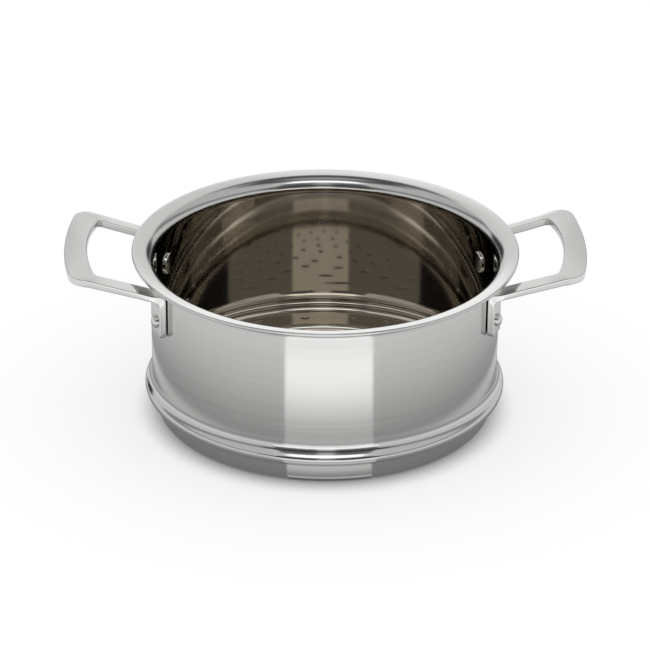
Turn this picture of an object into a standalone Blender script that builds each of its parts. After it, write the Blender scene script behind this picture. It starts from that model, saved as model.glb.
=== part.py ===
"""Steamer insert: a perforated steel pan insert with a bead that rests on the rim of the pan below.

Metres, +Z up. The origin is the centre of the flat base, and the handles lie along X.
One pressed sheet makes the vessel. Each loop handle is held by two rivets that pass
through its feet and the wall.
"""

import math

import bmesh
import bpy
from mathutils import Matrix, Vector

# Vessel, outer sizes of the pressed sheet
SHEET = 0.0020
BODY_RADIUS = 0.1020
VESSEL_HEIGHT = 0.1026
BASE_INSET = 0.0028
BASE_CORNER = 0.0050

# Bead that rests on the pan rim
SEAT_HEIGHT = 0.0137
SEAT_FILLET = 0.0010
BEAD_RADIUS = 0.0038
BEAD_REACH = 0.0041
BEAD_TOP = 0.0269

# Flared pouring lip
LIP_REACH = 0.0110
LIP_BEND = 0.0060
LIP_SLOPE = math.radians(10)

# Steam holes, in rings on the flat floor
HOLE_RADIUS = 0.0017
RING_RADIUS_SHARES = (0.090, 0.186, 0.297, 0.414, 0.541, 0.881)
RING_COUNTS = (3, 8, 13, 18, 24, 24)
RING_TURN_SHARES = (0.42, 0.35, 0.20, 0.55, 0.45, 0.30)

# Rivets. Like the feet and legs, they are placed from the lip's height
RIVET_BELOW_LIP = 0.0276
SHANK_RADIUS = 0.0025
OUTER_HEAD_RADIUS = 0.0039
OUTER_HEAD_HEIGHT = 0.0025
INNER_HEAD_RADIUS = 0.0064
INNER_HEAD_HEIGHT = 0.0016
HEAD_RIM = 0.0005

# Handle feet, whose middles are set in from the ends of the grip
FOOT_INSET = 0.0072
FOOT_WIDTH = 0.0125
FOOT_THICKNESS = 0.0041
FOOT_BOTTOM_BELOW_LIP = 0.0361
FOOT_CHAMFER = 0.0008

# Handle legs, which climb from the feet to the crest of the grip
LEG_WIDTH = 0.0098
LEG_THICKNESS = 0.0040
LEG_TOP_BELOW_LIP = 0.0106
CREST_ABOVE_LIP = 0.0031
CREST_INSET = 0.0056
CREST_BEND = 0.0120
BEND_RELIEF = 0.0015
BEND_SHARE = 0.4

# Grip, seen from above
GRIP_REACH = 0.1521
GRIP_WIDTH = 0.0134
GRIP_HALF_SPAN = 0.0474
GRIP_THICKNESS = 0.0048
GRIP_OUTER_ARC = 0.2000
GRIP_INNER_ARC = 0.1300
OUTER_CORNER = 0.0095
INNER_CORNER = 0.0035
GRIP_DROP = 0.0014

# Handle section
EDGE_ROUND = 0.0011
TOP_CROWN = 0.0004
TOP_FALL = 0.0006

# Fits
CLEARANCE = 0.0003
OVERRUN = 0.0010
MERGE_DISTANCE = 0.00001

# Facets
TURN_STEPS = 72
CORNER_POINTS = 4
FILLET_POINTS = 3
BEAD_POINTS = 6
BLEND_POINTS = 5
LIP_POINTS = 6
HOLE_SIDES = 8
RIVET_STEPS = 20
HEAD_POINTS = 5
LEG_STATIONS = 6
CORNER_STATIONS = 5
GRIP_STATIONS = 6
CREASE_ANGLE = math.radians(35)

# Steel finishes, as colour and roughness
VESSEL_FINISH = ((0.62, 0.61, 0.59), 0.22)
HANDLE_FINISH = ((0.66, 0.66, 0.65), 0.16)
RIVET_FINISH = ((0.68, 0.68, 0.67), 0.12)

INNER_RADIUS = BODY_RADIUS - SHEET
BASE_RADIUS = BODY_RADIUS - BASE_INSET
FLOOR_RADIUS = BASE_RADIUS - BASE_CORNER
LIP_RADIUS = BODY_RADIUS + LIP_REACH
RIVET_HEIGHT = VESSEL_HEIGHT - RIVET_BELOW_LIP
FOOT_BOTTOM = VESSEL_HEIGHT - FOOT_BOTTOM_BELOW_LIP
LEG_TOP_AT_WALL = VESSEL_HEIGHT - LEG_TOP_BELOW_LIP
CREST_HEIGHT = VESSEL_HEIGHT + CREST_ABOVE_LIP
FOOT_BACK = BODY_RADIUS + CLEARANCE
FOOT_FACE = FOOT_BACK + FOOT_THICKNESS
RIVET_ANGLE = math.asin((GRIP_HALF_SPAN - FOOT_INSET) / FOOT_FACE)


def clear_scene():
    for obj in list(bpy.data.objects):
        bpy.data.objects.remove(obj, do_unlink=True)


def new_collection(name):
    collection = bpy.data.collections.new(name)
    bpy.context.scene.collection.children.link(collection)
    return collection


def steel(name, finish):
    """A Principled material for one steel finish."""
    colour, roughness = finish
    material = bpy.data.materials.new(name)
    material.use_nodes = True
    shader = material.node_tree.nodes["Principled BSDF"]
    shader.inputs["Base Color"].default_value = (*colour, 1.0)
    shader.inputs["Metallic"].default_value = 1.0
    shader.inputs["Roughness"].default_value = roughness
    return material


def arc(centre, radius, start, end, count):
    """Points (r, z) on an arc, with angles in degrees from the +r direction."""
    points = []
    for index in range(count):
        angle = math.radians(start + (end - start) * index / (count - 1))
        points.append((centre[0] + radius * math.cos(angle), centre[1] + radius * math.sin(angle)))
    return points


def sheet_line(inset):
    """The vessel's face line from the floor to the lip edge, inset from the outer face."""
    bead_centre = (BODY_RADIUS + BEAD_REACH - BEAD_RADIUS, SEAT_HEIGHT + BEAD_RADIUS)
    rise = BEAD_TOP - bead_centre[1]
    lean = 2 * math.atan2(BEAD_REACH, rise)
    blend = rise / math.sin(lean) - BEAD_RADIUS
    lean_degrees = math.degrees(lean)

    slope_degrees = math.degrees(LIP_SLOPE)
    lip_centre_r = BODY_RADIUS + LIP_BEND
    face_bend = LIP_BEND + SHEET
    flare_start = lip_centre_r - face_bend * math.sin(LIP_SLOPE)
    flare_rise = (LIP_RADIUS - flare_start) * math.tan(LIP_SLOPE)
    lip_centre = (lip_centre_r, VESSEL_HEIGHT - flare_rise - face_bend * math.cos(LIP_SLOPE))

    points = arc((FLOOR_RADIUS, BASE_CORNER), BASE_CORNER - inset, -90, 0, CORNER_POINTS)
    fillet_centre = (BASE_RADIUS + SEAT_FILLET, SEAT_HEIGHT - SEAT_FILLET)
    points += arc(fillet_centre, SEAT_FILLET + inset, 180, 90, FILLET_POINTS)
    points += arc(bead_centre, BEAD_RADIUS - inset, -90, lean_degrees, BEAD_POINTS)
    blend_centre = (BODY_RADIUS + blend, BEAD_TOP)
    points += arc(blend_centre, blend + inset, 180 + lean_degrees, 180, BLEND_POINTS)[1:]
    points += arc(lip_centre, LIP_BEND + inset, 180, 90 + slope_degrees, LIP_POINTS)
    last_r, last_z = points[-1]
    points.append((LIP_RADIUS, last_z + (LIP_RADIUS - last_r) * math.tan(LIP_SLOPE)))
    return points


def turned(name, profile, steps, collection):
    """A profile of (r, z) points turned about Z by a Screw modifier."""
    mesh = bpy.data.meshes.new(name)
    edges = [(index, index + 1) for index in range(len(profile) - 1)]
    mesh.from_pydata([(r, 0.0, z) for r, z in profile], edges, [])
    obj = bpy.data.objects.new(name, mesh)
    collection.objects.link(obj)
    screw = obj.modifiers.new("turn", "SCREW")
    screw.axis = "Z"
    screw.angle = 2 * math.pi
    screw.steps = steps
    screw.render_steps = steps
    screw.use_merge_vertices = True
    screw.merge_threshold = MERGE_DISTANCE
    return obj


def as_mesh(obj):
    """Replaces the object's mesh and modifiers by its evaluated mesh."""
    graph = bpy.context.evaluated_depsgraph_get()
    mesh = bpy.data.meshes.new_from_object(obj.evaluated_get(graph))
    obj.modifiers.clear()
    obj.data = mesh


def fill_floor(obj):
    """Closes the two round openings left at the flat floor, and faces everything outwards."""
    shape = bmesh.new()
    shape.from_mesh(obj.data)
    open_edges = [edge for edge in shape.edges if edge.is_boundary]
    bmesh.ops.holes_fill(shape, edges=open_edges, sides=0)
    bmesh.ops.recalc_face_normals(shape, faces=shape.faces)
    shape.to_mesh(obj.data)
    shape.free()


def smooth(obj):
    obj.data.shade_smooth()
    obj.data.set_sharp_from_angle(angle=CREASE_ANGLE)


def as_cutter(obj):
    obj.hide_render = True
    obj.display_type = "WIRE"
    return obj


def cylinders(name, places, radius, depth, sides, collection):
    """One cutter made of equal cylinders, whose axes are the Z axes of the places."""
    shape = bmesh.new()
    for place in places:
        bmesh.ops.create_cone(
            shape,
            cap_ends=True,
            segments=sides,
            radius1=radius,
            radius2=radius,
            depth=depth,
            matrix=place,
        )
    mesh = bpy.data.meshes.new(name)
    shape.to_mesh(mesh)
    shape.free()
    obj = bpy.data.objects.new(name, mesh)
    collection.objects.link(obj)
    return as_cutter(obj)


def cut(obj, cutter):
    modifier = obj.modifiers.new(cutter.name, "BOOLEAN")
    modifier.operation = "DIFFERENCE"
    modifier.solver = "EXACT"
    modifier.object = cutter


def steam_hole_cutter(collection):
    places = []
    for radius_share, count, turn_share in zip(RING_RADIUS_SHARES, RING_COUNTS, RING_TURN_SHARES):
        radius = FLOOR_RADIUS * radius_share
        for index in range(count):
            angle = 2 * math.pi * (index + turn_share) / count
            spot = Vector((radius * math.cos(angle), radius * math.sin(angle), SHEET / 2))
            places.append(Matrix.Translation(spot) @ Matrix.Rotation(angle, 4, "Z"))
    depth = SHEET + 2 * OVERRUN
    return cylinders("steam_hole_cutter", places, HOLE_RADIUS, depth, HOLE_SIDES, collection)


def rivet_places():
    """Name and frame of each rivet. Z points outwards along the rivet, from the vessel's axis."""
    places = []
    for side, handle_turn in (("right", 0.0), ("left", math.pi)):
        for end, sign in (("front", -1), ("rear", 1)):
            across = sign if side == "right" else -sign
            angle = handle_turn + across * RIVET_ANGLE
            turn = Matrix.Rotation(angle, 4, "Z") @ Matrix.Rotation(math.pi / 2, 4, "Y")
            lift = Matrix.Translation((0, 0, RIVET_HEIGHT))
            places.append((f"rivet_{side}_{end}", lift @ turn))
    return places


def rivet_bore_cutter(collection):
    """Clearance bores for the four shanks, through the wall and the feet."""
    inside = INNER_RADIUS - OVERRUN
    outside = FOOT_FACE + OVERRUN
    middle = Matrix.Translation((0, 0, (inside + outside) / 2))
    places = [frame @ middle for name, frame in rivet_places()]
    radius = SHANK_RADIUS + CLEARANCE
    return cylinders("rivet_bore_cutter", places, radius, outside - inside, RIVET_STEPS, collection)


def seat_cutter(collection):
    """The cylinder that leaves the feet standing just off the wall."""
    bottom = FOOT_BOTTOM - OVERRUN
    top = LEG_TOP_AT_WALL + LEG_THICKNESS
    place = Matrix.Translation((0, 0, (bottom + top) / 2))
    return cylinders("seat_cutter", [place], FOOT_BACK, top - bottom, TURN_STEPS, collection)


def build_vessel(parts, cutters):
    profile = sheet_line(SHEET) + sheet_line(0)[::-1]
    vessel = turned("vessel", profile, TURN_STEPS, parts)
    as_mesh(vessel)
    fill_floor(vessel)
    smooth(vessel)
    for cutter in cutters:
        cut(vessel, cutter)
    vessel.data.materials.append(steel("vessel_steel", VESSEL_FINISH))


def rise(x):
    """Height of the handle's top face: a straight climb, level at the crest, then a slow fall."""
    start = FOOT_BACK * math.cos(RIVET_ANGLE)
    crest = GRIP_REACH - CREST_INSET
    if x > crest:
        return CREST_HEIGHT - GRIP_DROP * ((x - crest) / CREST_INSET) ** 2
    slope = (CREST_HEIGHT - LEG_TOP_AT_WALL) / (crest - start - CREST_BEND / 2)
    if x > crest - CREST_BEND:
        return CREST_HEIGHT - slope * (crest - x) ** 2 / (2 * CREST_BEND)
    return LEG_TOP_AT_WALL + slope * (x - start)


def thickness(x):
    """Thickness of the handle, which grows along the legs to the grip."""
    share = (x - FOOT_FACE) / (GRIP_REACH - FOOT_FACE)
    share = min(max(share, 0.0), 1.0)
    return LEG_THICKNESS + (GRIP_THICKNESS - LEG_THICKNESS) * share


def foot_point(depth, across, z):
    """A point of the foot, by its distance from the vessel's axis and its offset sideways."""
    x = depth * math.cos(RIVET_ANGLE) - across * math.sin(RIVET_ANGLE)
    y = depth * math.sin(RIVET_ANGLE) + across * math.cos(RIVET_ANGLE)
    return Vector((x, y, z))


def foot_station(z, shrink, back=BODY_RADIUS - OVERRUN, back_z=None):
    """Corners of a slice of the foot. It is level unless back_z lifts its wall side."""
    half = FOOT_WIDTH / 2 - shrink
    face = FOOT_FACE - shrink
    wall_z = z if back_z is None else back_z
    return [
        foot_point(back, -half, wall_z),
        foot_point(back, half, wall_z),
        foot_point(face, half, z),
        foot_point(face, -half, z),
    ]


def strap_station(inner, outer):
    """Corners of an upright slice of the leg or grip. Its top leans outboard, its bottom doesn't."""
    top_in = rise(inner[0])
    top_out = rise(outer[0])
    return [
        Vector((inner[0], inner[1], top_in + TOP_FALL / 2)),
        Vector((outer[0], outer[1], top_out - TOP_FALL / 2)),
        Vector((outer[0], outer[1], top_out - thickness(outer[0]))),
        Vector((inner[0], inner[1], top_in - thickness(inner[0]))),
    ]


def between(start, end, share):
    return start + (end - start) * share


def corner_frame(apex, arc_radius, corner_radius, half_span):
    """Centre of a rounded corner, and the angle at which the grip's arc runs into it."""
    arc_centre = apex - arc_radius
    y = half_span - corner_radius
    reach = math.sqrt((arc_radius - corner_radius) ** 2 - y**2)
    return (arc_centre + reach, y), math.atan2(y, reach)


def plan_lines():
    """Inner and outer edges from above, as equal lists from the foot to the middle of the grip."""
    lines = []
    foot_edges = (-FOOT_WIDTH / 2, FOOT_WIDTH / 2)
    half_spans = (GRIP_HALF_SPAN - LEG_WIDTH, GRIP_HALF_SPAN)
    apexes = (GRIP_REACH - GRIP_WIDTH, GRIP_REACH)
    arcs = (GRIP_INNER_ARC, GRIP_OUTER_ARC)
    corners = (INNER_CORNER, OUTER_CORNER)
    root = foot_point(FOOT_FACE, foot_edges[1], 0.0)
    root_x = root.x + LEG_THICKNESS
    for half_span, apex, arc_radius, corner_radius in zip(half_spans, apexes, arcs, corners):
        root_y = root.y - (GRIP_HALF_SPAN - half_span)
        centre, turn = corner_frame(apex, arc_radius, corner_radius, half_span)
        line = []
        for index in range(LEG_STATIONS):
            share = index / LEG_STATIONS
            line.append((between(root_x, centre[0], share), between(root_y, half_span, share)))
        for index in range(CORNER_STATIONS):
            angle = between(math.pi / 2, turn, index / CORNER_STATIONS)
            x = centre[0] + corner_radius * math.cos(angle)
            line.append((x, centre[1] + corner_radius * math.sin(angle)))
        for index in range(GRIP_STATIONS + 1):
            angle = turn * (1 - index / GRIP_STATIONS)
            x = apex - arc_radius + arc_radius * math.cos(angle)
            line.append((x, arc_radius * math.sin(angle)))
        lines.append(line)
    return lines


def bend_stations(first_strap):
    """Slices that carry the foot round the bend under the leg, up to the leg's first slice."""
    wall_x = FOOT_BACK * math.cos(RIVET_ANGLE)
    top = rise(wall_x)
    underside = top - thickness(wall_x)
    below = foot_station(underside - EDGE_ROUND, 0.0, back_z=top - 2 * BEND_RELIEF)
    corner = foot_station(underside + EDGE_ROUND / 2, 0.0, FOOT_BACK + BEND_RELIEF, top)
    ahead = [between(near, far, BEND_SHARE) for near, far in zip(corner, first_strap)]
    for point in ahead[:2]:
        point.z = max(rise(point.x), top)
    for point in ahead[2:]:
        point.z = rise(point.x) - thickness(point.x)
    return [below, corner, ahead]


def half_stations():
    inner, outer = plan_lines()
    straps = [strap_station(near, far) for near, far in zip(inner, outer)]
    feet = [
        foot_station(FOOT_BOTTOM, FOOT_CHAMFER),
        foot_station(FOOT_BOTTOM + FOOT_CHAMFER, 0.0),
        foot_station(RIVET_HEIGHT + OUTER_HEAD_RADIUS, 0.0),
    ]
    return feet + bend_stations(straps[0]) + straps


def section(corners):
    """Rounds the four corners of a slice and crowns its top."""
    loop = []
    count = len(corners)
    for index, corner in enumerate(corners):
        before = corners[index - 1] - corner
        after = corners[(index + 1) % count] - corner
        start = corner + before.normalized() * EDGE_ROUND
        end = corner + after.normalized() * EDGE_ROUND
        loop += [start, (start + end + 2 * corner) / 4, end]
    upward = (corners[0] - corners[3]).normalized()
    loop.insert(3, (corners[0] + corners[1]) / 2 + upward * TOP_CROWN)
    return loop


def mirrored(corners):
    return [Vector((corner.x, -corner.y, corner.z)) for corner in corners]


def handle_mesh(name):
    """The strap as one loft, from the bottom of one foot round the grip to the other foot."""
    half = half_stations()
    stations = half + [mirrored(corners) for corners in half[-2::-1]]
    shape = bmesh.new()
    rings = [[shape.verts.new(point) for point in section(corners)] for corners in stations]
    for ring, following in zip(rings, rings[1:]):
        count = len(ring)
        for index in range(count):
            after = (index + 1) % count
            shape.faces.new((ring[index], ring[after], following[after], following[index]))
    shape.faces.new(rings[0])
    shape.faces.new(rings[-1][::-1])
    bmesh.ops.recalc_face_normals(shape, faces=shape.faces)
    mesh = bpy.data.meshes.new(name)
    shape.to_mesh(mesh)
    shape.free()
    return mesh


def build_handles(parts, cutters):
    for name, turn in (("handle_right", 0.0), ("handle_left", math.pi)):
        handle = bpy.data.objects.new(name, handle_mesh(name))
        handle.rotation_euler.z = turn
        parts.objects.link(handle)
        smooth(handle)
        for cutter in cutters:
            cut(handle, cutter)
        handle.data.materials.append(steel(name + "_steel", HANDLE_FINISH))


def dome(radius, seat, height):
    """Half a head's outline from its crown to its seat, with an upright rim."""
    points = []
    rim = math.copysign(HEAD_RIM, height)
    for index in range(HEAD_POINTS):
        angle = math.pi / 2 * index / (HEAD_POINTS - 1)
        points.append((radius * math.sin(angle), seat + rim + (height - rim) * math.cos(angle)))
    points.append((radius, seat))
    return points


def build_rivets(parts):
    """Each rivet has a button head on the foot and a broad low head inside the wall."""
    outer_seat = FOOT_FACE + CLEARANCE
    facet_dip = INNER_RADIUS * (1 - math.cos(math.pi / TURN_STEPS))
    inner_seat = math.sqrt(INNER_RADIUS**2 - INNER_HEAD_RADIUS**2) - facet_dip - CLEARANCE
    profile = dome(OUTER_HEAD_RADIUS, outer_seat, OUTER_HEAD_HEIGHT)
    profile += [(SHANK_RADIUS, outer_seat), (SHANK_RADIUS, inner_seat)]
    profile += dome(INNER_HEAD_RADIUS, inner_seat, -INNER_HEAD_HEIGHT)[::-1]
    for name, frame in rivet_places():
        rivet = turned(name, profile, RIVET_STEPS, parts)
        as_mesh(rivet)
        smooth(rivet)
        rivet.matrix_world = frame
        rivet.data.materials.append(steel(name + "_steel", RIVET_FINISH))


def main():
    clear_scene()
    parts = new_collection("steamer_insert")
    helpers = new_collection("cutters")
    bores = rivet_bore_cutter(helpers)
    build_vessel(parts, [steam_hole_cutter(helpers), bores])
    build_handles(parts, [seat_cutter(helpers), bores])
    build_rivets(parts)


main()
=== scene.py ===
"""Looks of the steamer insert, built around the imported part, with its studio and camera. Metres, +Z up."""

import math

import bmesh
import bpy
from mathutils import Matrix, Quaternion, Vector


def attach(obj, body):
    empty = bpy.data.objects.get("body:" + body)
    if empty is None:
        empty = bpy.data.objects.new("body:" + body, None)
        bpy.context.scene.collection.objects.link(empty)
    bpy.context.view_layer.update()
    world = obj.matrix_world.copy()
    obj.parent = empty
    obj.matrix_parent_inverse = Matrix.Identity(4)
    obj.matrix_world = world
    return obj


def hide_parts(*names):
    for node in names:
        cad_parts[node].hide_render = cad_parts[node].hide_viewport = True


# Vessel sizes, as in the part
SHEET = 0.0020
BODY_RADIUS = 0.1020
VESSEL_HEIGHT = 0.1026
BASE_RADIUS = 0.0992
BASE_CORNER = 0.0050
SEAT_HEIGHT = 0.0137
SEAT_FILLET = 0.0010
BEAD_RADIUS = 0.0038
BEAD_REACH = 0.0041
BEAD_TOP = 0.0269
LIP_RADIUS = 0.1130
LIP_BEND = 0.0060
LIP_SLOPE = math.radians(10)
FLOOR_RADIUS = BASE_RADIUS - BASE_CORNER
CLEARANCE = 0.0003

# Steam holes, as in the part
HOLE_RADIUS = 0.0017
RING_RADIUS_SHARES = (0.090, 0.186, 0.297, 0.414, 0.541, 0.881)
RING_COUNTS = (3, 8, 13, 18, 24, 24)
RING_TURN_SHARES = (0.42, 0.35, 0.20, 0.55, 0.45, 0.30)

# Rivets, as in the part but for the radius of the shank, which is 0.1 mm smaller
RIVET_ANGLE = math.radians(22.199)
RIVET_HEIGHT = 0.0750
SHANK_RADIUS = 0.0024
OUTER_HEAD_RADIUS = 0.0039
OUTER_HEAD_HEIGHT = 0.0025
INNER_HEAD_RADIUS = 0.0064
INNER_HEAD_HEIGHT = 0.0016
HEAD_RIM = 0.0005

# Handles, as in the part but for the crest and its crown. Both are 0.1 mm lower, inside the part's box
FOOT_WIDTH = 0.0125
FOOT_THICKNESS = 0.0041
FOOT_BOTTOM = 0.0665
FOOT_BACK = BODY_RADIUS + CLEARANCE
FOOT_FACE = FOOT_BACK + FOOT_THICKNESS
LEG_WIDTH = 0.0098
LEG_THICKNESS = 0.0040
LEG_TOP_AT_WALL = 0.0920
CREST_HEIGHT = 0.1056
CREST_INSET = 0.0056
CREST_BEND = 0.0120
GRIP_REACH = 0.1521
GRIP_WIDTH = 0.0134
GRIP_HALF_SPAN = 0.0474
GRIP_THICKNESS = 0.0048
GRIP_OUTER_ARC = 0.2000
GRIP_INNER_ARC = 0.1300
OUTER_CORNER = 0.0095
INNER_CORNER = 0.0035
GRIP_DROP = 0.0014
TOP_CROWN = 0.0003
TOP_FALL = 0.0006

# Details that the looks add: rounds, the flare of the holes and how far the rivets' seats sink in
LIP_ROUND = 0.0007
HOLE_FLARE = 0.0002
RIVET_SINK = CLEARANCE / 3
BEND_OUTSIDE = 0.0030
BEND_INSIDE = 0.0022
SHARP_EDGE = 0.0006
SOFT_EDGE = 0.0011
GRIP_UNDER_ROUND = 0.0020
LARGEST_ROUND = 0.45
FOOT_END_ROUND = 0.0006
FOOT_END_RINGS = ((0.86, 0.0), (0.96, 0.35))

# Where along X the strap's edges begin to soften, and the length over which they do
SOFT_START = 0.125
SOFT_LENGTH = 0.02

# Points and stations of the meshes. The floor's support is a narrow flat ring at its edge, the lip's
# band is the part of the inner bend that has the lip's steel, and the pole's share leaves a small
# opening on the axis of a rivet head, which one face closes. The crown starts after the root's stations.
TURN_STEPS = 256
FLOOR_SUPPORT = 0.0004
CORNER_POINTS = 12
FILLET_POINTS = 8
BEAD_POINTS = 20
BLEND_POINTS = 14
WALL_SHARES = (0.02, 0.25, 0.5, 0.75, 0.98)
LIP_POINTS = 12
LIP_BAND_POINTS = 10
LIP_EDGE_POINTS = 7
HOLE_SIDES = 20
HEAD_STEPS = 48
HEAD_POINTS = 12
POLE_SHARE = 0.02
FOOT_STATIONS = 8
BEND_STATIONS = 8
ROOT_SHARES = (0.33, 0.67)
ROOT_STATIONS = FOOT_STATIONS + 1 + BEND_STATIONS + len(ROOT_SHARES)
LEG_STATIONS = 26
CORNER_STATIONS = 16
GRIP_STATIONS = 20
EDGE_POINTS = 6
SIDE_SHARES = (0.25, 0.5, 0.75)
CROWN_SHARES = (0.75, 1.0, 0.75)
SHARP_ANGLE = math.radians(35)

# Materials of the vessel, in the order of its material slots
INSIDE, OUTSIDE, LIP, FLOOR = range(4)

# Steel: noise for the fine lines and for the broad changes of tint, and how both are used
NOISE_DETAIL = 3.0
FINE_ROUGHNESS = 0.65
BROAD_ROUGHNESS = 0.5
BROAD_SCALE = 18.0
FINE_SHARE = 0.7
BROAD_SHARE = 0.3
DARKEST_TINT = 0.93
LIGHTEST_TINT = 1.06
FINE_LOW = 0.3
FINE_HIGH = 0.7
RELIEF_HEIGHT = 0.0001
QUARTER_TURN = 0.25
# Steel of the inside and its floor: the grey is the steel's own, the warm cast is a painted reflection of a
# warm surround
STEEL_WITH_WARM_REFLECTION = (0.58, 0.545, 0.49)

# Grip: how far the surface faces up, and how far out it lies, where its satin and its painted shade begin
# and are full. The top's darker colour is painted shade, its roughness the real satin
SATIN_AND_SHADE_FACING = (0.70, 0.92)
SATIN_AND_SHADE_OUT = (GRIP_REACH - 0.030, GRIP_REACH - 0.010)

# Camera, fitted to the photograph
CAMERA_TARGET = Vector((0.0, 0.0, 0.0518))
CAMERA_DISTANCE = 2.1614
CAMERA_ELEVATION = math.radians(26.41)
CAMERA_TURN = math.radians(-1.6)
CAMERA_ROLL = math.radians(0.45)
CAMERA_LENS = 203.15
CAMERA_SENSOR = 36.0
CAMERA_SHIFT = (0.0003, 0.0008)

# Studio that the steel mirrors. World levels go by degrees above the horizon.
# Every zone has the same soft light overhead.
WORLD_TOP = 2.0
OVERHEAD = ((74, 0.08), (79, 0.45), (90, 0.45))
SWEEP_LEVELS = (
    (0, 1.4), (18, 1.4), (21, 1.0), (30, 1.0), (33, 1.4), (48, 1.4),
    (53, 0.17), (68, 0.08), *OVERHEAD,
)
BACK_LEVELS = ((0, 0.95), (48, 0.95), (53, 0.17), (68, 0.08), *OVERHEAD)
WING_LEVELS = ((0, 0.05), (17, 0.05), (21, 0.95), (48, 0.95), (53, 0.17), (68, 0.08), *OVERHEAD)
SIDE_LEVELS = (
    (0, 0.8), (18, 0.8), (21, 0.32), (30, 0.32), (33, 0.7), (60, 0.7), (69, 0.08), *OVERHEAD,
)
QUARTER_LEVELS = (
    (0, 0.8), (18, 0.8), (21, 0.03), (30, 0.03), (33, 0.8), (64, 0.8), (69, 0.08), *OVERHEAD,
)
GAP_LEVELS = (
    (0, 1.9), (5, 1.9), (9, 0.6), (18, 0.6), (22, 0.02), (29, 0.02), (33, 0.6),
    (50, 0.6), (53, 2.0), (67, 2.0), (70, 0.08), *OVERHEAD,
)
FRONT_LEVELS = (
    (0, 1.9), (5, 1.9), (9, 0.16), (20, 0.16), (22, 0.02), (29, 0.02), (31, 0.16),
    (50, 0.16), (53, 2.0), (67, 2.0), (70, 0.08), *OVERHEAD,
)

# Zones by degrees to either side of the front. The gap is straight ahead, and each zone takes over
# from the one before it between two angles. The wings are turned a little to one side.
ZONES = (
    (FRONT_LEVELS, 4.0, 8.0),
    (QUARTER_LEVELS, 31.0, 35.0),
    (SIDE_LEVELS, 38.0, 46.0),
    (WING_LEVELS, 140.0, 144.0),
    (BACK_LEVELS, 160.0, 164.0),
    (SWEEP_LEVELS, 172.0, 176.0),
)
WING_TURN = 5.0

# Painted floor levels, seen only in the steel's reflections, go by metres from the vessel's axis: painted
# shade close to the vessel, a painted bright ring, and lighter further out. The card, a patch of painted
# light with painted shade next to the vessel, lies in front of the vessel, between two lines from its apex,
# each given by the degrees just outside and just inside it.
FLOOR_TOP = 1.6
PAINTED_FLOOR_LEVELS = (
    (0.0, 0.0), (0.10, 0.25), (0.13, 0.34), (0.134, 0.66), (0.145, 0.66), (0.151, 0.34),
    (0.20, 0.60), (0.25, 0.80), (0.32, 0.95), (0.60, 1.0),
)
# The card's levels: painted light in front of the vessel, with painted shade right next to it
PAINTED_CARD_LEVELS = (
    (0.0, 0.0), (0.099, 0.15), (0.102, 0.9), (0.105, 0.25), (0.118, 0.80), (0.127, 0.80),
    (0.14, 0.60), (0.17, 0.60), (0.22, 1.35), (0.256, 1.58), (0.261, 1.28), (0.60, 1.1),
)
PAINTED_CARD_APEX = 0.051
PAINTED_CARD_EDGES = ((-28.0, -27.0), (30.0, 29.0))

# Floor as the camera sees it. Its glow is cut near the object, which paints shade round the object's base on
# top of its real shadow, and with the floor's own colour it makes just over white.
FLOOR_SIZE = 6.0
FLOOR_SEGMENTS = 8
FLOOR_ROUGHNESS = 0.9
FLOOR_WHITE = 1.02
FLOOR_GLOW = 0.6
GLOW_START = 0.088
GLOW_FULL = 0.115


def between(start, end, share):
    return start + (end - start) * share


def arc(centre, radius, start, end, count):
    """Points (r, z) on an arc, with angles in degrees from the +r direction."""
    points = []
    for index in range(count):
        angle = math.radians(start + (end - start) * index / (count - 1))
        points.append((centre[0] + radius * math.cos(angle), centre[1] + radius * math.sin(angle)))
    return points


def bezier(start, control, end, count):
    """Points along a quadratic curve, without its start."""
    points = []
    for index in range(1, count + 1):
        t = index / count
        points.append(start * (1 - t) ** 2 + control * 2 * t * (1 - t) + end * t**2)
    return points


def new_object(name, shape):
    """An object made from a bmesh, linked to the scene."""
    mesh = bpy.data.meshes.new(name)
    shape.to_mesh(mesh)
    shape.free()
    obj = bpy.data.objects.new(name, mesh)
    bpy.context.scene.collection.objects.link(obj)
    return obj


def smooth(obj):
    """Shades a piece smooth, except at edges above the sharp angle."""
    obj.data.shade_smooth()
    obj.data.set_sharp_from_angle(angle=SHARP_ANGLE)


def bridge(shape, rings, material_of=None):
    """Joins each closed ring of vertices to the next with quads. The ends stay open."""
    for band, (low, high) in enumerate(zip(rings, rings[1:])):
        for step in range(len(low)):
            after = (step + 1) % len(low)
            face = shape.faces.new((low[step], low[after], high[after], high[step]))
            if material_of:
                face.material_index = material_of(band)


def revolve(shape, profile, steps, centre=(0.0, 0.0), material_of=None):
    """Turns (r, z) points about an upright axis at the centre, joins them and returns the rings."""
    rings = []
    for r, z in profile:
        ring = []
        for step in range(steps):
            angle = 2 * math.pi * step / steps
            x = centre[0] + r * math.cos(angle)
            y = centre[1] + r * math.sin(angle)
            ring.append(shape.verts.new((x, y, z)))
        rings.append(ring)
    bridge(shape, rings, material_of)
    return rings


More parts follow.
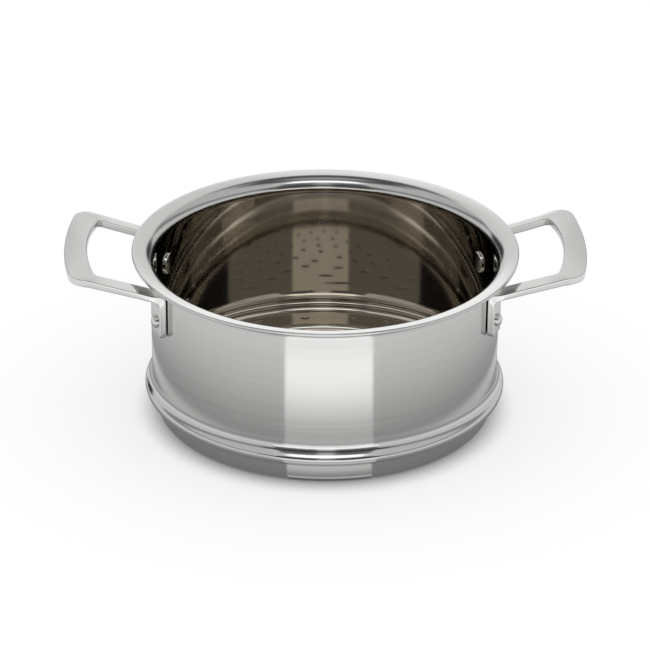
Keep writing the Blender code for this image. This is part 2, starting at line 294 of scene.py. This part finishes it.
def sheet_line(inset):
    """The vessel's face line from the floor to the lip, inset from the outer face."""
    bead_centre = (BODY_RADIUS + BEAD_REACH - BEAD_RADIUS, SEAT_HEIGHT + BEAD_RADIUS)
    climb = BEAD_TOP - bead_centre[1]
    lean = 2 * math.atan2(BEAD_REACH, climb)
    lean_degrees = math.degrees(lean)
    blend = climb / math.sin(lean) - BEAD_RADIUS
    blend_centre = (BODY_RADIUS + blend, BEAD_TOP)
    fillet_centre = (BASE_RADIUS + SEAT_FILLET, SEAT_HEIGHT - SEAT_FILLET)
    lip_centre_r = BODY_RADIUS + LIP_BEND
    face_bend = LIP_BEND + SHEET
    flare_start = lip_centre_r - face_bend * math.sin(LIP_SLOPE)
    flare_rise = (LIP_RADIUS - flare_start) * math.tan(LIP_SLOPE)
    lip_centre = (lip_centre_r, VESSEL_HEIGHT - flare_rise - face_bend * math.cos(LIP_SLOPE))

    points = [(FLOOR_RADIUS - FLOOR_SUPPORT, inset)]
    points += arc((FLOOR_RADIUS, BASE_CORNER), BASE_CORNER - inset, -90, 0, CORNER_POINTS)
    points.append((BASE_RADIUS - inset, (BASE_CORNER + SEAT_HEIGHT) / 2))
    points += arc(fillet_centre, SEAT_FILLET + inset, 180, 90, FILLET_POINTS)
    points += arc(bead_centre, BEAD_RADIUS - inset, -90, lean_degrees, BEAD_POINTS)
    points += arc(blend_centre, blend + inset, 180 + lean_degrees, 180, BLEND_POINTS)[1:]
    for share in WALL_SHARES:
        points.append((BODY_RADIUS - inset, BEAD_TOP + (lip_centre[1] - BEAD_TOP) * share))
    points += arc(lip_centre, LIP_BEND + inset, 180, 90 + math.degrees(LIP_SLOPE), LIP_POINTS)
    return points


def lip_edge():
    """The rounded rim, from the sheet's inner face round to its outer face."""
    along = Vector((math.cos(LIP_SLOPE), math.sin(LIP_SLOPE)))
    reach = LIP_RADIUS - LIP_ROUND
    top = Vector((reach, VESSEL_HEIGHT - LIP_ROUND * math.tan(LIP_SLOPE)))
    bottom = Vector((reach, top.y - SHEET / math.cos(LIP_SLOPE)))
    offset = Vector((0, LIP_ROUND / math.cos(LIP_SLOPE)))
    degrees = math.degrees(LIP_SLOPE)
    points = [tuple(top - along * LIP_ROUND * 2)]
    points += arc(top - offset, LIP_ROUND, 90 + degrees, 0, LIP_EDGE_POINTS)
    points += arc(bottom + offset, LIP_ROUND, 0, -90 + degrees, LIP_EDGE_POINTS)
    points.append(tuple(bottom - along * LIP_ROUND * 2))
    return points


def vessel_object():
    """The vessel's sheet, turned in one piece and not yet perforated."""
    inner = sheet_line(SHEET)
    edge = lip_edge()
    outer = sheet_line(0.0)[::-1]
    lip_start = len(inner) - LIP_BAND_POINTS
    lip_end = len(inner) + len(edge) + 1

    def material_of(band):
        if band < lip_start:
            return INSIDE
        return LIP if band < lip_end else OUTSIDE

    shape = bmesh.new()
    rings = revolve(shape, inner + edge + outer, TURN_STEPS, material_of=material_of)
    shape.faces.new(rings[0]).material_index = FLOOR
    shape.faces.new(rings[-1]).material_index = OUTSIDE
    bmesh.ops.recalc_face_normals(shape, faces=shape.faces)
    return new_object("vessel_shell", shape)


def hole_cutter():
    """Every steam hole as one mesh: a cylinder that flares a little at the floor's two faces."""
    flare = HOLE_RADIUS + HOLE_FLARE
    past = flare + HOLE_FLARE
    profile = (
        (past, -HOLE_FLARE),
        (flare, 0.0),
        (HOLE_RADIUS, HOLE_FLARE),
        (HOLE_RADIUS, SHEET - HOLE_FLARE),
        (flare, SHEET),
        (past, SHEET + HOLE_FLARE),
    )
    shape = bmesh.new()
    for share, count, turn in zip(RING_RADIUS_SHARES, RING_COUNTS, RING_TURN_SHARES):
        for index in range(count):
            angle = 2 * math.pi * (index + turn) / count
            centre = (FLOOR_RADIUS * share * math.cos(angle), FLOOR_RADIUS * share * math.sin(angle))
            rings = revolve(shape, profile, HOLE_SIDES, centre)
            shape.faces.new(rings[0][::-1])
            shape.faces.new(rings[-1])
    return new_object("hole_cutter", shape)


def apply_cut(obj, cutter):
    """Cuts obj with the cutter and removes the cutter."""
    modifier = obj.modifiers.new("cut", "BOOLEAN")
    modifier.operation = "DIFFERENCE"
    modifier.solver = "EXACT"
    modifier.object = cutter
    graph = bpy.context.evaluated_depsgraph_get()
    mesh = bpy.data.meshes.new_from_object(obj.evaluated_get(graph))
    obj.modifiers.clear()
    obj.data = mesh
    bpy.data.objects.remove(cutter, do_unlink=True)


def rise(x):
    """Height of the handle's top face: a straight climb, level at the crest, then a slow fall."""
    start = FOOT_BACK * math.cos(RIVET_ANGLE)
    crest = GRIP_REACH - CREST_INSET
    if x > crest:
        return CREST_HEIGHT - GRIP_DROP * ((x - crest) / CREST_INSET) ** 2
    slope = (CREST_HEIGHT - LEG_TOP_AT_WALL) / (crest - start - CREST_BEND / 2)
    if x > crest - CREST_BEND:
        return CREST_HEIGHT - slope * (crest - x) ** 2 / (2 * CREST_BEND)
    return LEG_TOP_AT_WALL + slope * (x - start)


def thickness(x):
    """The strap's thickness, which grows from the leg's root to the end of the grip."""
    share = (x - FOOT_FACE) / (GRIP_REACH - FOOT_FACE)
    share = min(max(share, 0.0), 1.0)
    return LEG_THICKNESS + (GRIP_THICKNESS - LEG_THICKNESS) * share


def foot_point(depth, across, z):
    """A point of the foot, by its distance from the vessel's axis and its offset sideways."""
    x = depth * math.cos(RIVET_ANGLE) - across * math.sin(RIVET_ANGLE)
    y = depth * math.sin(RIVET_ANGLE) + across * math.cos(RIVET_ANGLE)
    return Vector((x, y, z))


def plan_line(side):
    """One edge of the strap seen from above, from the leg's root to the middle of the grip."""
    inner = side == "inner"
    half_span = GRIP_HALF_SPAN - (LEG_WIDTH if inner else 0.0)
    apex = GRIP_REACH - (GRIP_WIDTH if inner else 0.0)
    arc_radius = GRIP_INNER_ARC if inner else GRIP_OUTER_ARC
    corner = INNER_CORNER if inner else OUTER_CORNER
    root = foot_point(FOOT_FACE, FOOT_WIDTH / 2, 0.0)
    root_x = root.x + LEG_THICKNESS
    root_y = root.y - (GRIP_HALF_SPAN - half_span)
    arc_centre = apex - arc_radius
    y = half_span - corner
    reach = math.sqrt((arc_radius - corner) ** 2 - y**2)
    centre = (arc_centre + reach, y)
    turn = math.atan2(y, reach)
    line = []
    for index in range(LEG_STATIONS):
        share = index / LEG_STATIONS
        line.append((between(root_x, centre[0], share), between(root_y, half_span, share)))
    for index in range(CORNER_STATIONS):
        angle = between(math.pi / 2, turn, index / CORNER_STATIONS)
        line.append((centre[0] + corner * math.cos(angle), centre[1] + corner * math.sin(angle)))
    for index in range(GRIP_STATIONS + 1):
        angle = turn * (1 - index / GRIP_STATIONS)
        line.append((arc_centre + arc_radius * math.cos(angle), arc_radius * math.sin(angle)))
    return line


def corner_lines():
    """The strap's four edges, as equal lists of points from the foot's bottom to the grip's middle."""
    half = FOOT_WIDTH / 2
    wall_x = FOOT_BACK * math.cos(RIVET_ANGLE)
    top = rise(wall_x)
    underside = top - thickness(wall_x)
    lines = {}
    for side, across, fall in (("inner", -half, TOP_FALL / 2), ("outer", half, -TOP_FALL / 2)):
        plan = plan_line(side)
        for level, depth, radius, peak in (
            ("top", FOOT_BACK, BEND_OUTSIDE, top + fall),
            ("bottom", FOOT_FACE, BEND_INSIDE, underside),
        ):
            strap = []
            for x, y in plan:
                z = rise(x) + fall if level == "top" else rise(x) - thickness(x)
                strap.append(Vector((x, y, z)))
            line = []
            for station in range(FOOT_STATIONS + 1):
                z = between(FOOT_BOTTOM, peak - radius, station / FOOT_STATIONS)
                line.append(foot_point(depth, across, z))
            knee = foot_point(depth, across, peak)
            ahead = knee + (strap[0] - knee).normalized() * radius
            line += bezier(line[-1], knee, ahead, BEND_STATIONS)
            line += [between(ahead, strap[0], share) for share in ROOT_SHARES]
            lines[side, level] = line + strap
    return lines


def rounded_section(corners, radii, crown):
    """A closed loop through four corners, each rounded by its own radius, with a crowned top."""
    loop = []
    for index, corner in enumerate(corners):
        following = (index + 1) % 4
        before = corners[index - 1] - corner
        after = corners[following] - corner
        radius = min(radii[index], before.length * LARGEST_ROUND, after.length * LARGEST_ROUND)
        start = corner + before.normalized() * radius
        end = corner + after.normalized() * radius
        loop += [start] + bezier(start, corner, end, EDGE_POINTS - 1)
        next_radius = min(radii[following], after.length * LARGEST_ROUND)
        far = corners[following] - after.normalized() * next_radius
        loop += [between(end, far, share) for share in SIDE_SHARES]
    upward = (corners[0] - corners[3]).normalized()
    for index, share in enumerate(CROWN_SHARES, EDGE_POINTS):
        loop[index] = loop[index] + upward * crown * share
    return loop


def handle_object(name, turn):
    """One handle, lofted as a strap from foot to foot and turned about the vessel's axis."""
    lines = corner_lines()
    edges = (("inner", "top"), ("outer", "top"), ("outer", "bottom"), ("inner", "bottom"))
    stations = []
    for index, corners in enumerate(zip(*(lines[edge] for edge in edges))):
        x = (corners[0].x + corners[1].x) / 2
        grip = min(max((x - SOFT_START) / SOFT_LENGTH, 0.0), 1.0)
        soft = between(SHARP_EDGE, SOFT_EDGE, grip)
        radii = (soft, SHARP_EDGE, soft, between(SHARP_EDGE, GRIP_UNDER_ROUND, grip))
        crown = TOP_CROWN if index >= ROOT_STATIONS else 0.0
        stations.append(rounded_section(corners, radii, crown))

    # Two smaller rings round the foot's lower end, and what would lie below them moves up
    first = stations[0]
    middle = sum(first, Vector()) / len(first)
    lift = Vector((0, 0, FOOT_END_ROUND))
    ends = []
    for size, share in FOOT_END_RINGS:
        ends.append([middle + (point - middle) * size + lift * share for point in first])
    for index, ring in enumerate(stations):
        if ring[0].z < FOOT_BOTTOM + lift.z:
            stations[index] = [point + lift for point in ring]
    stations = ends + stations

    mirrored = [[Vector((p.x, -p.y, p.z)) for p in ring] for ring in stations[-2::-1]]
    shape = bmesh.new()
    rings = [[shape.verts.new(point) for point in ring] for ring in stations + mirrored]
    bridge(shape, rings)
    shape.faces.new(rings[0])
    shape.faces.new(rings[-1][::-1])
    bmesh.ops.recalc_face_normals(shape, faces=shape.faces)
    shape.transform(Matrix.Rotation(turn, 4, "Z"))
    return new_object(name, shape)


def rivet_object(name, frame_matrix):
    """Both heads and the shank of one rivet, turned about its own axis."""
    outer_seat = FOOT_FACE - RIVET_SINK
    inner_seat = math.sqrt((BODY_RADIUS - SHEET) ** 2 - INNER_HEAD_RADIUS**2) + RIVET_SINK
    outer_dome = OUTER_HEAD_HEIGHT - HEAD_RIM
    inner_dome = INNER_HEAD_HEIGHT - HEAD_RIM
    outer_head = []
    inner_head = []
    for index in range(HEAD_POINTS):
        angle = math.pi / 2 * (index + POLE_SHARE) / (HEAD_POINTS - 1 + POLE_SHARE)
        across, along = math.sin(angle), math.cos(angle)
        outer_z = outer_seat + HEAD_RIM + CLEARANCE + outer_dome * along
        inner_z = inner_seat - CLEARANCE - HEAD_RIM - inner_dome * along
        outer_head.append((OUTER_HEAD_RADIUS * across, outer_z))
        inner_head.append((INNER_HEAD_RADIUS * across, inner_z))
    seats = [
        (OUTER_HEAD_RADIUS, outer_seat),
        (SHANK_RADIUS, outer_seat),
        (SHANK_RADIUS, inner_seat),
        (INNER_HEAD_RADIUS, inner_seat),
    ]
    shape = bmesh.new()
    rings = revolve(shape, outer_head + seats + inner_head[::-1], HEAD_STEPS)
    shape.faces.new(rings[0])
    shape.faces.new(rings[-1])
    bmesh.ops.recalc_face_normals(shape, faces=shape.faces)
    shape.transform(frame_matrix)
    return new_object(name, shape)


def rivet_places():
    """Name and frame of each rivet. Z points outwards along the rivet, from the vessel's axis."""
    places = []
    for side, handle_turn in (("right", 0.0), ("left", math.pi)):
        for end, sign in (("front", -1), ("rear", 1)):
            across = sign if side == "right" else -sign
            angle = handle_turn + across * RIVET_ANGLE
            turn = Matrix.Rotation(angle, 4, "Z") @ Matrix.Rotation(math.pi / 2, 4, "Y")
            places.append((f"rivet_{side}_{end}", Matrix.Translation((0, 0, RIVET_HEIGHT)) @ turn))
    return places


class Nodes:
    """Small helper that builds a node tree with short calls."""

    def __init__(self, tree):
        self.tree = tree

    def add(self, kind, **settings):
        node = self.tree.nodes.new(kind)
        for name, value in settings.items():
            setattr(node, name, value)
        return node

    def link(self, source, target):
        self.tree.links.new(source, target)

    def feed(self, socket, value):
        """Gives a socket its number, or links it to another node's output."""
        if isinstance(value, (int, float)):
            socket.default_value = value
        else:
            self.link(value, socket)

    def object_place(self):
        return self.add("ShaderNodeTexCoord").outputs["Object"]

    def split(self, vector):
        """The X, Y and Z of a vector."""
        node = self.add("ShaderNodeSeparateXYZ")
        self.link(vector, node.inputs["Vector"])
        return node.outputs

    def math(self, operation, first, second=None):
        node = self.add("ShaderNodeMath", operation=operation)
        self.feed(node.inputs[0], first)
        if second is not None:
            self.feed(node.inputs[1], second)
        return node.outputs[0]

    def noise(self, vector, scale, roughness):
        node = self.add("ShaderNodeTexNoise")
        node.inputs["Scale"].default_value = scale
        node.inputs["Detail"].default_value = NOISE_DETAIL
        node.inputs["Roughness"].default_value = roughness
        self.link(vector, node.inputs["Vector"])
        return node.outputs["Fac"]

    def map_range(self, value, from_min, from_max, to_min, to_max):
        node = self.add("ShaderNodeMapRange")
        for socket, number in zip(list(node.inputs)[1:5], (from_min, from_max, to_min, to_max)):
            socket.default_value = number
        self.link(value, node.inputs["Value"])
        return node.outputs["Result"]

    def soft_step(self, value, start, end):
        """Zero before start, one past end, and smooth in between."""
        node = self.add("ShaderNodeMapRange", interpolation_type="SMOOTHSTEP")
        node.inputs["From Min"].default_value = start
        node.inputs["From Max"].default_value = end
        self.link(value, node.inputs["Value"])
        return node.outputs["Result"]

    def blend(self, first, second, share):
        """First where share is zero, and second where it is one."""
        node = self.add("ShaderNodeMix", data_type="FLOAT")
        for name, value in (("A", first), ("B", second), ("Factor", share)):
            self.feed(node.inputs[name], value)
        return node.outputs["Result"]

    def stretched(self, vector, scale):
        node = self.add("ShaderNodeMapping")
        node.inputs["Scale"].default_value = scale
        self.link(vector, node.inputs["Vector"])
        return node.outputs["Vector"]


def new_material(name):
    """A material, the helper for its nodes and its shader."""
    material = bpy.data.materials.new(name)
    material.use_nodes = True
    return material, Nodes(material.node_tree), material.node_tree.nodes["Principled BSDF"]


def brushed(name, colour, roughness, spread, lines, bump, anisotropy=0.0):
    """Steel with fine lines. Spread is how far the roughness varies, and lines is the noise's scale."""
    material, nodes, shader = new_material(name)
    shader.inputs["Metallic"].default_value = 1.0
    place = nodes.object_place()
    fine = nodes.noise(nodes.stretched(place, lines), 1.0, FINE_ROUGHNESS)
    broad = nodes.noise(place, BROAD_SCALE, BROAD_ROUGHNESS)
    fine_part = nodes.math("MULTIPLY", fine, FINE_SHARE)
    broad_part = nodes.math("MULTIPLY", broad, BROAD_SHARE)
    tint = nodes.add("ShaderNodeMix", data_type="RGBA")
    tint.inputs["A"].default_value = (*[c * DARKEST_TINT for c in colour], 1.0)
    tint.inputs["B"].default_value = (*[min(c * LIGHTEST_TINT, 1.0) for c in colour], 1.0)
    nodes.link(nodes.math("ADD", fine_part, broad_part), tint.inputs["Factor"])
    nodes.link(tint.outputs["Result"], shader.inputs["Base Color"])
    rough = nodes.map_range(fine, FINE_LOW, FINE_HIGH, roughness - spread, roughness + spread)
    nodes.link(rough, shader.inputs["Roughness"])
    if bump:
        relief = nodes.add("ShaderNodeBump")
        relief.inputs["Strength"].default_value = bump
        relief.inputs["Distance"].default_value = RELIEF_HEIGHT
        nodes.link(fine, relief.inputs["Height"])
        nodes.link(relief.outputs["Normal"], shader.inputs["Normal"])
    if anisotropy:
        shader.inputs["Anisotropic"].default_value = anisotropy
        shader.inputs["Anisotropic Rotation"].default_value = QUARTER_TURN
        tangent = nodes.add("ShaderNodeTangent", direction_type="RADIAL", axis="Z")
        nodes.link(tangent.outputs["Tangent"], shader.inputs["Tangent"])
    return material


def polish_sides_and_shade_top(material, colour, roughness):
    """Keeps the satin on top of the grip and makes the legs, feet and flanks polished. The top's darker
    colour than the sides is painted shade; the roughness is the real finish.
    """
    nodes = Nodes(material.node_tree)
    shader = material.node_tree.nodes["Principled BSDF"]
    normal = nodes.split(nodes.add("ShaderNodeNewGeometry").outputs["Normal"])
    upward = nodes.soft_step(normal["Z"], *SATIN_AND_SHADE_FACING)
    out = nodes.math("ABSOLUTE", nodes.split(nodes.object_place())["X"])
    top = nodes.math("MULTIPLY", upward, nodes.soft_step(out, *SATIN_AND_SHADE_OUT))
    satin_rough = shader.inputs["Roughness"].links[0].from_socket
    satin_and_shade_tint = shader.inputs["Base Color"].links[0].from_socket
    nodes.link(nodes.blend(roughness, satin_rough, top), shader.inputs["Roughness"])
    tint = nodes.add("ShaderNodeMix", data_type="RGBA")
    tint.inputs["A"].default_value = (*colour, 1.0)
    nodes.link(satin_and_shade_tint, tint.inputs["B"])
    nodes.link(top, tint.inputs["Factor"])
    nodes.link(tint.outputs["Result"], shader.inputs["Base Color"])


def dress(obj, nodes, material=None):
    """Gives a piece its material and its body, and hides the parts of the nodes that it stands for."""
    if material:
        obj.data.materials.append(material)
    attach(obj, "root")
    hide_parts(*nodes)


def build_pieces():
    """The seven pieces, each in place of its solid, in their steels."""
    # Name, colour, roughness, its spread, the noise's scale, bump and anisotropy
    satin = brushed("satin_outside", (0.60, 0.60, 0.59), 0.13, 0.03, (3, 3, 420), 0.04, 0.7)
    mirror = brushed("polished_inside", STEEL_WITH_WARM_REFLECTION, 0.06, 0.01, (4, 4, 40), 0.0)
    lip = brushed("polished_lip", (0.56, 0.56, 0.55), 0.16, 0.03, (4, 4, 500), 0.02)
    floor = brushed("polished_floor", STEEL_WITH_WARM_REFLECTION, 0.06, 0.01, (60, 60, 60), 0.0)
    # The strap's top colour is darker than its sides: painted shade, with the real satin in its roughness
    strap = brushed("satin_strap", (0.52, 0.52, 0.51), 0.28, 0.03, (1400, 1400, 1400), 0.008)
    polish_sides_and_shade_top(strap, (0.68, 0.68, 0.67), 0.09)
    button = brushed("polished_rivet", (0.62, 0.62, 0.61), 0.10, 0.03, (200, 200, 200), 0.02)

    vessel = vessel_object()
    for material in (mirror, satin, lip, floor):
        vessel.data.materials.append(material)
    apply_cut(vessel, hole_cutter())
    smooth(vessel)
    dress(vessel, ["vessel"])
    for side, turn in (("right", 0.0), ("left", math.pi)):
        handle = handle_object(f"handle_{side}_strap", turn)
        smooth(handle)
        dress(handle, [f"handle_{side}"], strap)
    for name, place in rivet_places():
        rivet = rivet_object(name + "_turned", place)
        smooth(rivet)
        dress(rivet, [name], button)


def ramp(nodes, value, stops, top):
    """A grey level read from (place, level) stops. Levels go up to top."""
    node = nodes.add("ShaderNodeValToRGB")
    elements = node.color_ramp.elements
    span = stops[-1][0]
    for place, level in stops:
        if place in (0.0, span):
            element = elements[0 if place == 0.0 else -1]
        else:
            element = elements.new(place / span)
        element.color = (level / top, level / top, level / top, 1.0)
    nodes.link(nodes.math("DIVIDE", value, span), node.inputs["Fac"])
    return nodes.math("MULTIPLY", node.outputs["Color"], top)


def rays(nodes, *kinds):
    """One for a ray of any of the kinds, and zero for the rest."""
    path = nodes.add("ShaderNodeLightPath")
    total = path.outputs[kinds[0]]
    for kind in kinds[1:]:
        total = nodes.math("MAXIMUM", total, path.outputs[kind])
    return total


def build_world():
    """Plain white light, and for the steel to mirror, a studio of grey and white zones."""
    world = bpy.data.worlds.new("studio")
    bpy.context.scene.world = world
    world.use_nodes = True
    nodes = Nodes(world.node_tree)
    background = world.node_tree.nodes["Background"]
    background.inputs["Color"].default_value = (1.0, 1.0, 1.0, 1.0)
    x, y, z = nodes.split(nodes.add("ShaderNodeTexCoord").outputs["Generated"])
    height = nodes.math("DEGREES", nodes.math("ARCSINE", z))
    turn = nodes.math("DEGREES", nodes.math("ARCTAN2", x, nodes.math("MULTIPLY", y, -1.0)))
    around = nodes.math("ABSOLUTE", turn)
    wing_around = nodes.math("ABSOLUTE", nodes.math("SUBTRACT", turn, WING_TURN))

    level = ramp(nodes, height, GAP_LEVELS, WORLD_TOP)
    for levels, start, end in ZONES:
        angle = wing_around if levels is WING_LEVELS else around
        zone = ramp(nodes, height, levels, WORLD_TOP)
        level = nodes.blend(level, zone, nodes.soft_step(angle, start, end))
    level = nodes.blend(1.0, level, rays(nodes, "Is Glossy Ray"))
    nodes.link(level, background.inputs["Strength"])


def build_stage():
    """The white floor, darker where the steel mirrors it close by, which is painted shade, with painted
    light in a bright ring and a card in front. Its glow for the camera is cut near the object, which paints
    shade round the base. It keeps the object's shadow.
    """
    shape = bmesh.new()
    bmesh.ops.create_grid(shape, x_segments=FLOOR_SEGMENTS, y_segments=FLOOR_SEGMENTS, size=FLOOR_SIZE)
    floor = new_object("studio_floor", shape)
    material, nodes, shader = new_material("studio_floor")
    shader.inputs["Roughness"].default_value = FLOOR_ROUGHNESS
    shader.inputs["Specular IOR Level"].default_value = 0.0
    place = nodes.split(nodes.object_place())
    x, y = place["X"], place["Y"]
    away = nodes.math("SQRT", nodes.math("ADD", nodes.math("POWER", x, 2.0), nodes.math("POWER", y, 2.0)))
    # The card: a patch of painted light on the floor, seen only in reflections
    ahead = nodes.math("MULTIPLY", nodes.math("ADD", y, PAINTED_CARD_APEX), -1.0)
    turn = nodes.math("DEGREES", nodes.math("ARCTAN2", x, ahead))
    painted_card = nodes.math("MULTIPLY", *[nodes.soft_step(turn, *edge) for edge in PAINTED_CARD_EDGES])
    # Painted shade near the vessel and a painted bright ring, seen only in reflections
    painted_floor_level = ramp(nodes, away, PAINTED_FLOOR_LEVELS, FLOOR_TOP)
    painted_card_level = ramp(nodes, away, PAINTED_CARD_LEVELS, FLOOR_TOP)
    # What the steel mirrors: painted light and painted shade on the floor
    mirrored = nodes.blend(painted_floor_level, painted_card_level, painted_card)
    # The glow is cut near the object: painted shade round its base, on top of its real shadow
    seen = nodes.math("MULTIPLY", nodes.soft_step(away, GLOW_START, GLOW_FULL), FLOOR_GLOW)
    shared = rays(nodes, "Is Camera Ray", "Is Transmission Ray")
    mirror = rays(nodes, "Is Glossy Ray")
    glow = nodes.math("ADD", nodes.math("MULTIPLY", seen, shared), nodes.math("MULTIPLY", mirrored, mirror))
    grey = nodes.math("MULTIPLY", nodes.math("SUBTRACT", 1.0, mirror), FLOOR_WHITE - FLOOR_GLOW)
    nodes.link(grey, shader.inputs["Base Color"])
    shader.inputs["Emission Color"].default_value = (1.0, 1.0, 1.0, 1.0)
    nodes.link(glow, shader.inputs["Emission Strength"])
    floor.data.materials.append(material)


def build_camera():
    """The camera, at its distance from the target and rolled a little."""
    toward = Vector((
        -math.sin(CAMERA_TURN) * math.cos(CAMERA_ELEVATION),
        math.cos(CAMERA_TURN) * math.cos(CAMERA_ELEVATION),
        -math.sin(CAMERA_ELEVATION),
    ))
    data = bpy.data.cameras.new("camera")
    data.lens = CAMERA_LENS
    data.sensor_width = CAMERA_SENSOR
    data.shift_x, data.shift_y = CAMERA_SHIFT
    camera = bpy.data.objects.new("camera", data)
    bpy.context.scene.collection.objects.link(camera)
    camera.location = CAMERA_TARGET - toward * CAMERA_DISTANCE
    camera.rotation_mode = "QUATERNION"
    roll = Quaternion((0, 0, 1), CAMERA_ROLL)
    camera.rotation_quaternion = toward.to_track_quat("-Z", "Y") @ roll
    bpy.context.scene.camera = camera


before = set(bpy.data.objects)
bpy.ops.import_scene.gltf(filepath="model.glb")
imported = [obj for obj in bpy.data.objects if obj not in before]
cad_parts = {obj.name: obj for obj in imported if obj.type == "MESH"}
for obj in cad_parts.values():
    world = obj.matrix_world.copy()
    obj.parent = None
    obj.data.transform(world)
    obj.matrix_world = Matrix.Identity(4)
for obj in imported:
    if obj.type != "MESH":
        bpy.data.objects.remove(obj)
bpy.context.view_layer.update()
bpy.context.scene.view_settings.view_transform = "Standard"
build_pieces()
build_world()
build_stage()
build_camera()
